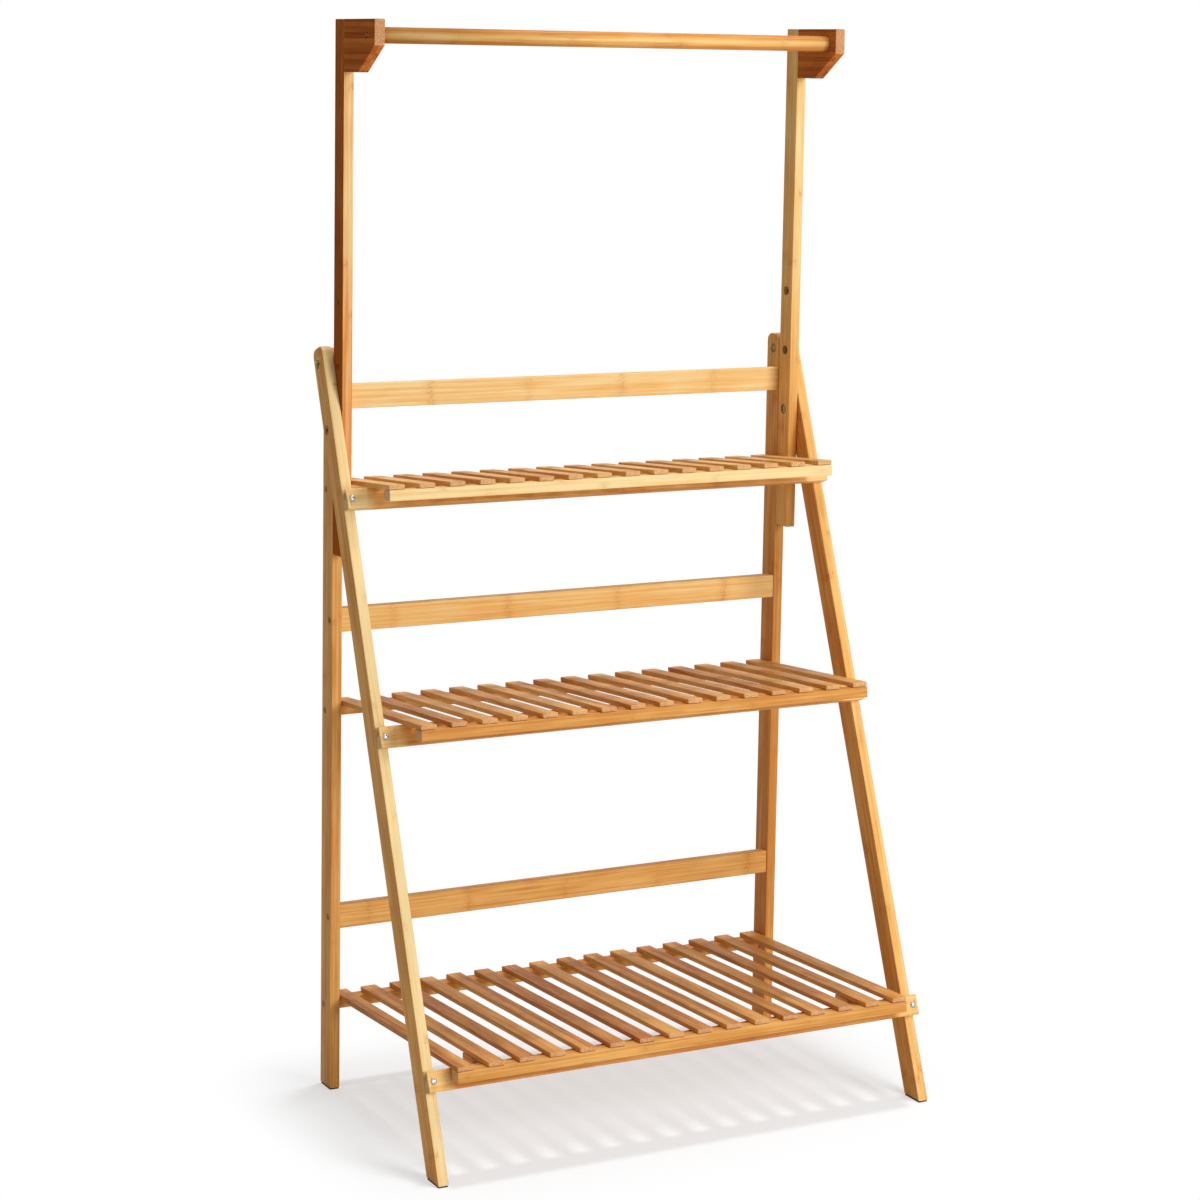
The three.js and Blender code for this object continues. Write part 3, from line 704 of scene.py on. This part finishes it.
def shelf(tier):
    """The rear bar, the slats and the lip as pieces of their own."""
    place = shelf_place(tier)
    low, high = local_box(f"shelf_{tier}", place)
    body = f"shelf_{tier}"
    bar_top = high.z - SLAT_THICKNESS
    bar_low, bar_high = (low.x, -high.y, low.z), (high.x, high.y, bar_top)
    bar = rounded_bar(f"rear_bar_{tier}", bar_low, bar_high, place, BAMBOO_BAR, body)
    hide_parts(f"shelf_{tier}")
    pitch = (high.x - low.x - SLAT_WIDTH) / (SLAT_COUNT - 1)
    for number in range(SLAT_COUNT):
        x = low.x + number * pitch
        slat_low, slat_high = (x, low.y, bar_top), (x + SLAT_WIDTH, high.y, high.z)
        name = f"slat_{tier}_{number + 1:02d}"
        rounded_bar(name, slat_low, slat_high, place, BAMBOO_SLAT, body)
    lip = rounded_bar(
        f"lip_{tier}", *local_box(f"shelf_lip_{tier}", place), place, BAMBOO_BAR, body
    )
    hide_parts(f"shelf_lip_{tier}")


for tier in TIERS:
    shelf(tier)


# ---------------------------------------------------------------- hanging rod

ROD_STEPS = 64


def hanging_rod():
    """The round rod, smooth round its length and flat at its ends."""
    low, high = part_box("hanging_rod")
    radius = (high.z - low.z) / 2
    shape = bmesh.new()
    bmesh.ops.create_cone(
        shape,
        cap_ends=True,
        segments=ROD_STEPS,
        radius1=radius,
        radius2=radius,
        depth=high.x - low.x,
        matrix=Matrix.Translation((low + high) / 2) @ Matrix.Rotation(math.pi / 2, 4, "Y"),
    )
    mesh = as_mesh(shape, "hanging_rod_smooth")
    piece = finish_mesh("hanging_rod_smooth", mesh, BAMBOO_ROD, "hanger")
    for polygon in mesh.polygons:
        polygon.use_smooth = len(polygon.vertices) == 4
    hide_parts("hanging_rod")


hanging_rod()


# ---------------------------------------------------------------- screws and bolts

FASTENER_CREASE = 40  # degrees
RIM_TOLERANCE = 0.0002

HEAD_RADIUS = 0.004
HEAD_HEIGHT = 0.0024
SHANK_RADIUS = 0.002
POINT_LENGTH = 0.003
DOME_STEPS = 6
DOME_FULLNESS = 0.6  # under 1 the dome is fuller than a sphere's
CROSS_BOTTOM = (0.0013, 0.0004)  # the cross recess's reach and half width
CROSS_TOP = (0.0026, 0.0008)
CROSS_DEPTH = 0.002
CROSS_RISE = 0.0004  # how far its cutter stands out of the head

BOLT_HEAD_RADIUS = 0.006
BOLT_HEAD_HEIGHT = 0.0035
BOLT_SHANK_RADIUS = 0.003
BOLT_EDGE = 0.0006
BOLT_EDGE_BULGE = 0.3  # of the edge's width, at the middle of its round
SOCKET_SIDES = 6
SOCKET_RADIUS = 0.0023
SOCKET_DEPTH = 0.002


def cross_outline(reach, half_width, height):
    """A plus sign about Z, its corners in order."""
    corners = [(reach, -half_width), (reach, half_width), (half_width, half_width)]
    outline = []
    for quarter in range(4):
        turn = Matrix.Rotation(quarter * math.pi / 2, 2)
        outline += [(*(turn @ Vector(corner)), height) for corner in corners]
    return outline


def screw_mesh(length):
    """A domed head with a tapered cross recess on a pointed shank."""
    profile = [
        (0, -length),
        (SHANK_RADIUS, -length + POINT_LENGTH),
        (SHANK_RADIUS, 0),
        (HEAD_RADIUS, 0),
    ]
    for step in range(1, DOME_STEPS):
        angle = math.pi / 2 * step / DOME_STEPS
        radius = HEAD_RADIUS * math.cos(angle) ** DOME_FULLNESS
        profile.append((radius, HEAD_HEIGHT * math.sin(angle)))
    profile.append((0, HEAD_HEIGHT))
    low = cross_outline(*CROSS_BOTTOM, HEAD_HEIGHT - CROSS_DEPTH)
    high = cross_outline(*CROSS_TOP, HEAD_HEIGHT + CROSS_RISE)
    return carve(turned(profile), prism(low, high))


def bolt_mesh(length):
    """A flat round head with a hexagon socket."""
    bulge = BOLT_EDGE * BOLT_EDGE_BULGE
    profile = [
        (0, -length),
        (BOLT_SHANK_RADIUS, -length),
        (BOLT_SHANK_RADIUS, 0),
        (BOLT_HEAD_RADIUS, 0),
        (BOLT_HEAD_RADIUS, BOLT_HEAD_HEIGHT - BOLT_EDGE),
        (BOLT_HEAD_RADIUS - bulge, BOLT_HEAD_HEIGHT - bulge),
        (BOLT_HEAD_RADIUS - BOLT_EDGE, BOLT_HEAD_HEIGHT),
        (0, BOLT_HEAD_HEIGHT),
    ]
    socket = bmesh.new()
    bmesh.ops.create_cone(
        socket,
        cap_ends=True,
        segments=SOCKET_SIDES,
        radius1=SOCKET_RADIUS,
        radius2=SOCKET_RADIUS,
        depth=2 * SOCKET_DEPTH,
        matrix=Matrix.Translation((0, 0, BOLT_HEAD_HEIGHT)),
    )
    return carve(turned(profile), socket)


def seat(node, facing, head_height):
    """A matrix that turns +Z to facing and moves the origin to a fastener's seat.

    The seat is the middle of the head's underside, found from the rim of the CAD node's head.
    """
    way = Vector(facing).normalized()
    points = [v.co for v in nodes[node].data.vertices]
    top = max(p.dot(way) for p in points)
    rim = [p for p in points if top - head_height - RIM_TOLERANCE < p.dot(way)]
    middle = sum(rim, Vector()) / len(rim)
    origin = middle + way * (top - head_height - middle.dot(way))
    turn = Vector(Z).rotation_difference(Vector(facing)).to_matrix().to_4x4()
    return Matrix.Translation(origin) @ turn


def shank_length(node, facing, head_height):
    way = Vector(facing).normalized()
    reach = [v.co.dot(way) for v in nodes[node].data.vertices]
    return max(reach) - min(reach) - head_height


def fastener(node, facing, body, make, head_height, look):
    """A fastener in the place of a CAD node, its head facing the given way."""
    mesh = make(shank_length(node, facing, head_height))
    mesh.transform(seat(node, facing, head_height))
    smooth_faces(mesh)
    piece = finish_mesh(f"{node}_detail", mesh, look, body)
    crease(mesh, FASTENER_CREASE)
    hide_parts(node)


def screw(node, facing, body):
    fastener(node, facing, body, screw_mesh, HEAD_HEIGHT, ZINC)


def bolt(node, facing, body):
    fastener(node, facing, body, bolt_mesh, BOLT_HEAD_HEIGHT, BRASSY)


for side_name, side in SIDES.items():
    outward = (side, 0, 0)
    for tier in TIERS:
        screw(f"front_rail_screw_{tier}_{side_name}", LEG_FORWARD, "front_frame")
        screw(f"back_rail_screw_{tier}_{side_name}", outward, "rear_frame")
        screw(f"shelf_pivot_screw_{tier}_{side_name}", outward, f"shelf_{tier}")
    screw(f"rod_screw_{side_name}", outward, "hanger")
    for level in LEVELS:
        screw(f"bracket_screw_{side_name}_{level}", Y, "hanger")
    bolt(f"pivot_bolt_{side_name}", outward, "rear_frame")
    bolt(f"hanger_bolt_{side_name}", outward, "front_frame")


# ---------------------------------------------------------------- hanger brackets

BRACKET_NOSE = 0.032
BRACKET_HEEL = 0.044
BRACKET_CORNER = 0.003
BRACKET_EDGE = 0.0009
BRACKET_CREASE = 35  # degrees
ARC_STEPS = 5
HOLE_RADIUS = 0.0024
HOLE_CLEARANCE = 0.0004  # past the screw's point
RECESS_RADIUS = 0.0044
RECESS_FLOOR = -0.0003  # from the underside of the screw's head
RECESS_TOP = 0.01
SAME_PLACE = 1e-6


def rounded_outline(corners, radii):
    """A flat outline whose corners are arcs of the given radii; a radius of 0 keeps the corner."""
    outline = []
    for i, (corner, radius) in enumerate(zip(corners, radii)):
        corner = Vector(corner)
        if radius == 0:
            outline.append(corner)
            continue
        back = (Vector(corners[i - 1]) - corner).normalized()
        ahead = (Vector(corners[(i + 1) % len(corners)]) - corner).normalized()
        half = back.angle(ahead) / 2
        centre = corner + (back + ahead).normalized() * radius / math.sin(half)
        start = corner + back * radius / math.tan(half) - centre
        end = corner + ahead * radius / math.tan(half) - centre
        first = math.atan2(start.y, start.x)
        sweep = math.remainder(math.atan2(end.y, end.x) - first, 2 * math.pi)
        for step in range(ARC_STEPS + 1):
            angle = first + sweep * step / ARC_STEPS
            outline.append(centre + radius * Vector((math.cos(angle), math.sin(angle))))
    return outline


def screw_bore(node, facing):
    """What a screw's hole and the recess of its head take out of the wood round it."""
    point = -shank_length(node, facing, HEAD_HEIGHT) - HOLE_CLEARANCE
    profile = [
        (0, point),
        (HOLE_RADIUS, point),
        (HOLE_RADIUS, RECESS_FLOOR),
        (RECESS_RADIUS, RECESS_FLOOR),
        (RECESS_RADIUS, RECESS_TOP),
        (0, RECESS_TOP),
    ]
    bore = turned(profile)
    bore.transform(seat(node, facing, HEAD_HEIGHT))
    return bore


def bracket(side_name, side):
    """A board with a slanted lower front edge, rounded at its corners and bored for its screws."""
    node = f"hanger_bracket_{side_name}"
    low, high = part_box(node)
    corners = [
        (high.y, low.z),
        (high.y, high.z),
        (low.y, high.z),
        (low.y, high.z - BRACKET_NOSE),
        (high.y - BRACKET_HEEL, low.z),
    ]
    outline = rounded_outline(corners, (0, 0, BRACKET_CORNER / 2, BRACKET_CORNER, BRACKET_CORNER))
    shape = prism([(low.x, *point) for point in outline], [(high.x, *point) for point in outline])
    spans = {edge: abs(edge.verts[0].co.x - edge.verts[1].co.x) for edge in shape.edges}
    rim = [edge for edge, span in spans.items() if span < SAME_PLACE]
    bevel(shape, rim, BRACKET_EDGE)
    mesh = carve(shape, screw_bore(f"rod_screw_{side_name}", (side, 0, 0)))
    for level in LEVELS:
        shape = bmesh.new()
        shape.from_mesh(mesh)
        mesh = carve(shape, screw_bore(f"bracket_screw_{side_name}_{level}", Y))
    smooth_faces(mesh)
    piece = finish_mesh(f"{node}_board", mesh, BAMBOO_BRACKET, "hanger")
    crease(mesh, BRACKET_CREASE)
    weigh_normals(piece)
    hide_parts(node)


for side_name, side in SIDES.items():
    bracket(side_name, side)


# ---------------------------------------------------------------- CAD pieces that stay

LOOKS = (
    ("rear_post_left", BAMBOO_POST),
    ("rear_post_right", BAMBOO_DEEP_POST),
    ("hanger_post_left", BAMBOO_SHADED_POST),
    ("hanger_post_right", BAMBOO_HANGER_POST),
    ("front_leg", BAMBOO_LEG),
    ("back_rail", BAMBOO_RAIL),
    ("front_rail", BAMBOO_FRONT_RAIL),
    ("stop_block", BAMBOO_SLAT),
    ("foot_pad", RUBBER),
    ("pivot_nut", BRASSY),
    ("hanger_nut", BRASSY),
)
WELD_DISTANCE = 1e-5

for name, node in nodes.items():
    if node.hide_render:  # replaced by a piece above
        continue
    look = next(look for start, look in LOOKS if name.startswith(start))
    node.data.materials.clear()
    node.data.materials.append(look)
    smooth_faces(node.data)
    weld = node.modifiers.new("weld", "WELD")
    weld.merge_threshold = WELD_DISTANCE
    weigh_normals(node, keep_sharp=False)


# ---------------------------------------------------------------- studio

AMBIENT = 0.3
WHITE = (1, 1, 1, 1)
FLOOR_HALF = 12.0
FLOOR_COLOUR = (0.775, 0.8, 0.82, 1)
FLOOR_GLOW = 0.24
FOOTPRINT = (0.33, 0.2)  # half the width and half the depth of the floor under the stand
WHITE_UNDER_STAND = 0.4  # how much of the floor's look there is plain white
SHADOW_FADE = 0.16  # how far beyond the footprint the floor turns all white

# Each lamp's name, place, target, power and side.
LAMPS = (
    ("key_front_right", (1.6, -3.6, 2.0), (0, 0, 0.7), 118, 2.0),
    ("overhead", (0.35, 0.45, 5.0), (0, 0, 0), 90, 0.5),
)

scene = bpy.context.scene
scene.view_settings.view_transform = "Standard"


def seen_directly(graph):
    """1 for what the camera, a mirror or glass sees, and 0 for light that falls on things."""
    path = graph.add("ShaderNodeLightPath")
    seen = graph.math("MAXIMUM", path.outputs["Is Camera Ray"], path.outputs["Is Glossy Ray"])
    return graph.math("MAXIMUM", seen, path.outputs["Is Transmission Ray"])


def floor_material():
    """A white floor that keeps a light shadow under the stand and is plain white further off."""
    made = bpy.data.materials.new("floor_white")
    graph = Graph(made)
    seen = seen_directly(graph)
    diffuse = graph.add("ShaderNodeBsdfDiffuse")
    diffuse.inputs["Color"].default_value = FLOOR_COLOUR
    glow = graph.add("ShaderNodeEmission")
    graph.link(graph.times(seen, FLOOR_GLOW), glow.inputs["Strength"])
    lit = graph.add("ShaderNodeAddShader")
    graph.link(diffuse.outputs[0], lit.inputs[0])
    graph.link(glow.outputs[0], lit.inputs[1])
    white = graph.add("ShaderNodeEmission")
    white.inputs["Strength"].default_value = 1.0

    place = graph.add("ShaderNodeSeparateXYZ")
    graph.link(graph.add("ShaderNodeTexCoord").outputs["Object"], place.inputs[0])
    squares = []
    for value, half in zip(place.outputs, FOOTPRINT):
        beyond = graph.math("SUBTRACT", graph.math("ABSOLUTE", value), half)
        squares.append(graph.math("POWER", graph.math("MAXIMUM", beyond, 0.0), 2.0))
    distance = graph.math("SQRT", graph.math("ADD", *squares))
    whiteness = graph.spread(distance, 0.0, SHADOW_FADE, WHITE_UNDER_STAND, 1.0)
    fade = graph.add("ShaderNodeMixShader")
    graph.link(graph.times(whiteness, seen), fade.inputs[0])
    graph.link(lit.outputs[0], fade.inputs[1])
    graph.link(white.outputs[0], fade.inputs[2])
    output = graph.add("ShaderNodeOutputMaterial")
    graph.link(fade.outputs[0], output.inputs["Surface"])
    return made


def studio_floor():
    mesh = bpy.data.meshes.new("studio_floor")
    turns = ((-1, -1), (1, -1), (1, 1), (-1, 1))
    corners = [(x * FLOOR_HALF, y * FLOOR_HALF, 0) for x, y in turns]
    mesh.from_pydata(corners, [], [(0, 1, 2, 3)])
    mesh.materials.append(floor_material())
    floor = bpy.data.objects.new("studio_floor", mesh)
    scene.collection.objects.link(floor)


def studio_world():
    """White as it is seen, and AMBIENT as it lights things."""
    world = bpy.data.worlds.new("studio")
    scene.world = world
    sky = Graph(world)
    background = sky.add("ShaderNodeBackground")
    background.inputs["Color"].default_value = WHITE
    strength = sky.math("MULTIPLY_ADD", seen_directly(sky), 1 - AMBIENT, AMBIENT)
    sky.link(strength, background.inputs["Strength"])
    sky.link(background.outputs[0], sky.add("ShaderNodeOutputWorld").inputs["Surface"])


def lamp(name, place, target, power, side):
    """A square lamp that faces its target."""
    data = bpy.data.lights.new(name, "AREA")
    data.shape = "SQUARE"
    data.size = side
    data.energy = power
    item = bpy.data.objects.new(name, data)
    item.location = place
    way = Vector(target) - Vector(place)
    item.rotation_euler = way.to_track_quat("-Z", "Y").to_euler()
    scene.collection.objects.link(item)


studio_floor()
studio_world()
for settings in LAMPS:
    lamp(*settings)


# ---------------------------------------------------------------- camera

# From a fit to the photograph's edges.
CAMERA_PLACE = Vector((-1.77906, -3.27337, 1.33925))
YAW, PITCH, ROLL = (math.radians(a) for a in (27.95, 7.35, 0.96))
SENSOR = 36.0
FOCAL_PIXELS = 2961.85
PICTURE_PIXELS = 1200
AXIS_ROW = 439.84


def photo_camera():
    forward = Vector(
        (math.sin(YAW) * math.cos(PITCH), math.cos(YAW) * math.cos(PITCH), -math.sin(PITCH))
    )
    level = Vector((math.cos(YAW), -math.sin(YAW), 0))
    above = level.cross(forward)
    right = level * math.cos(ROLL) + above * math.sin(ROLL)
    up = above * math.cos(ROLL) - level * math.sin(ROLL)
    data = bpy.data.cameras.new("camera")
    data.sensor_fit = "HORIZONTAL"
    data.sensor_width = SENSOR
    data.lens = SENSOR * FOCAL_PIXELS / PICTURE_PIXELS
    data.shift_y = (AXIS_ROW - PICTURE_PIXELS / 2) / PICTURE_PIXELS
    camera = bpy.data.objects.new("camera", data)
    turn = Matrix((right, up, -forward)).transposed().to_4x4()
    camera.matrix_world = Matrix.Translation(CAMERA_PLACE) @ turn
    scene.collection.objects.link(camera)
    scene.camera = camera


photo_camera()
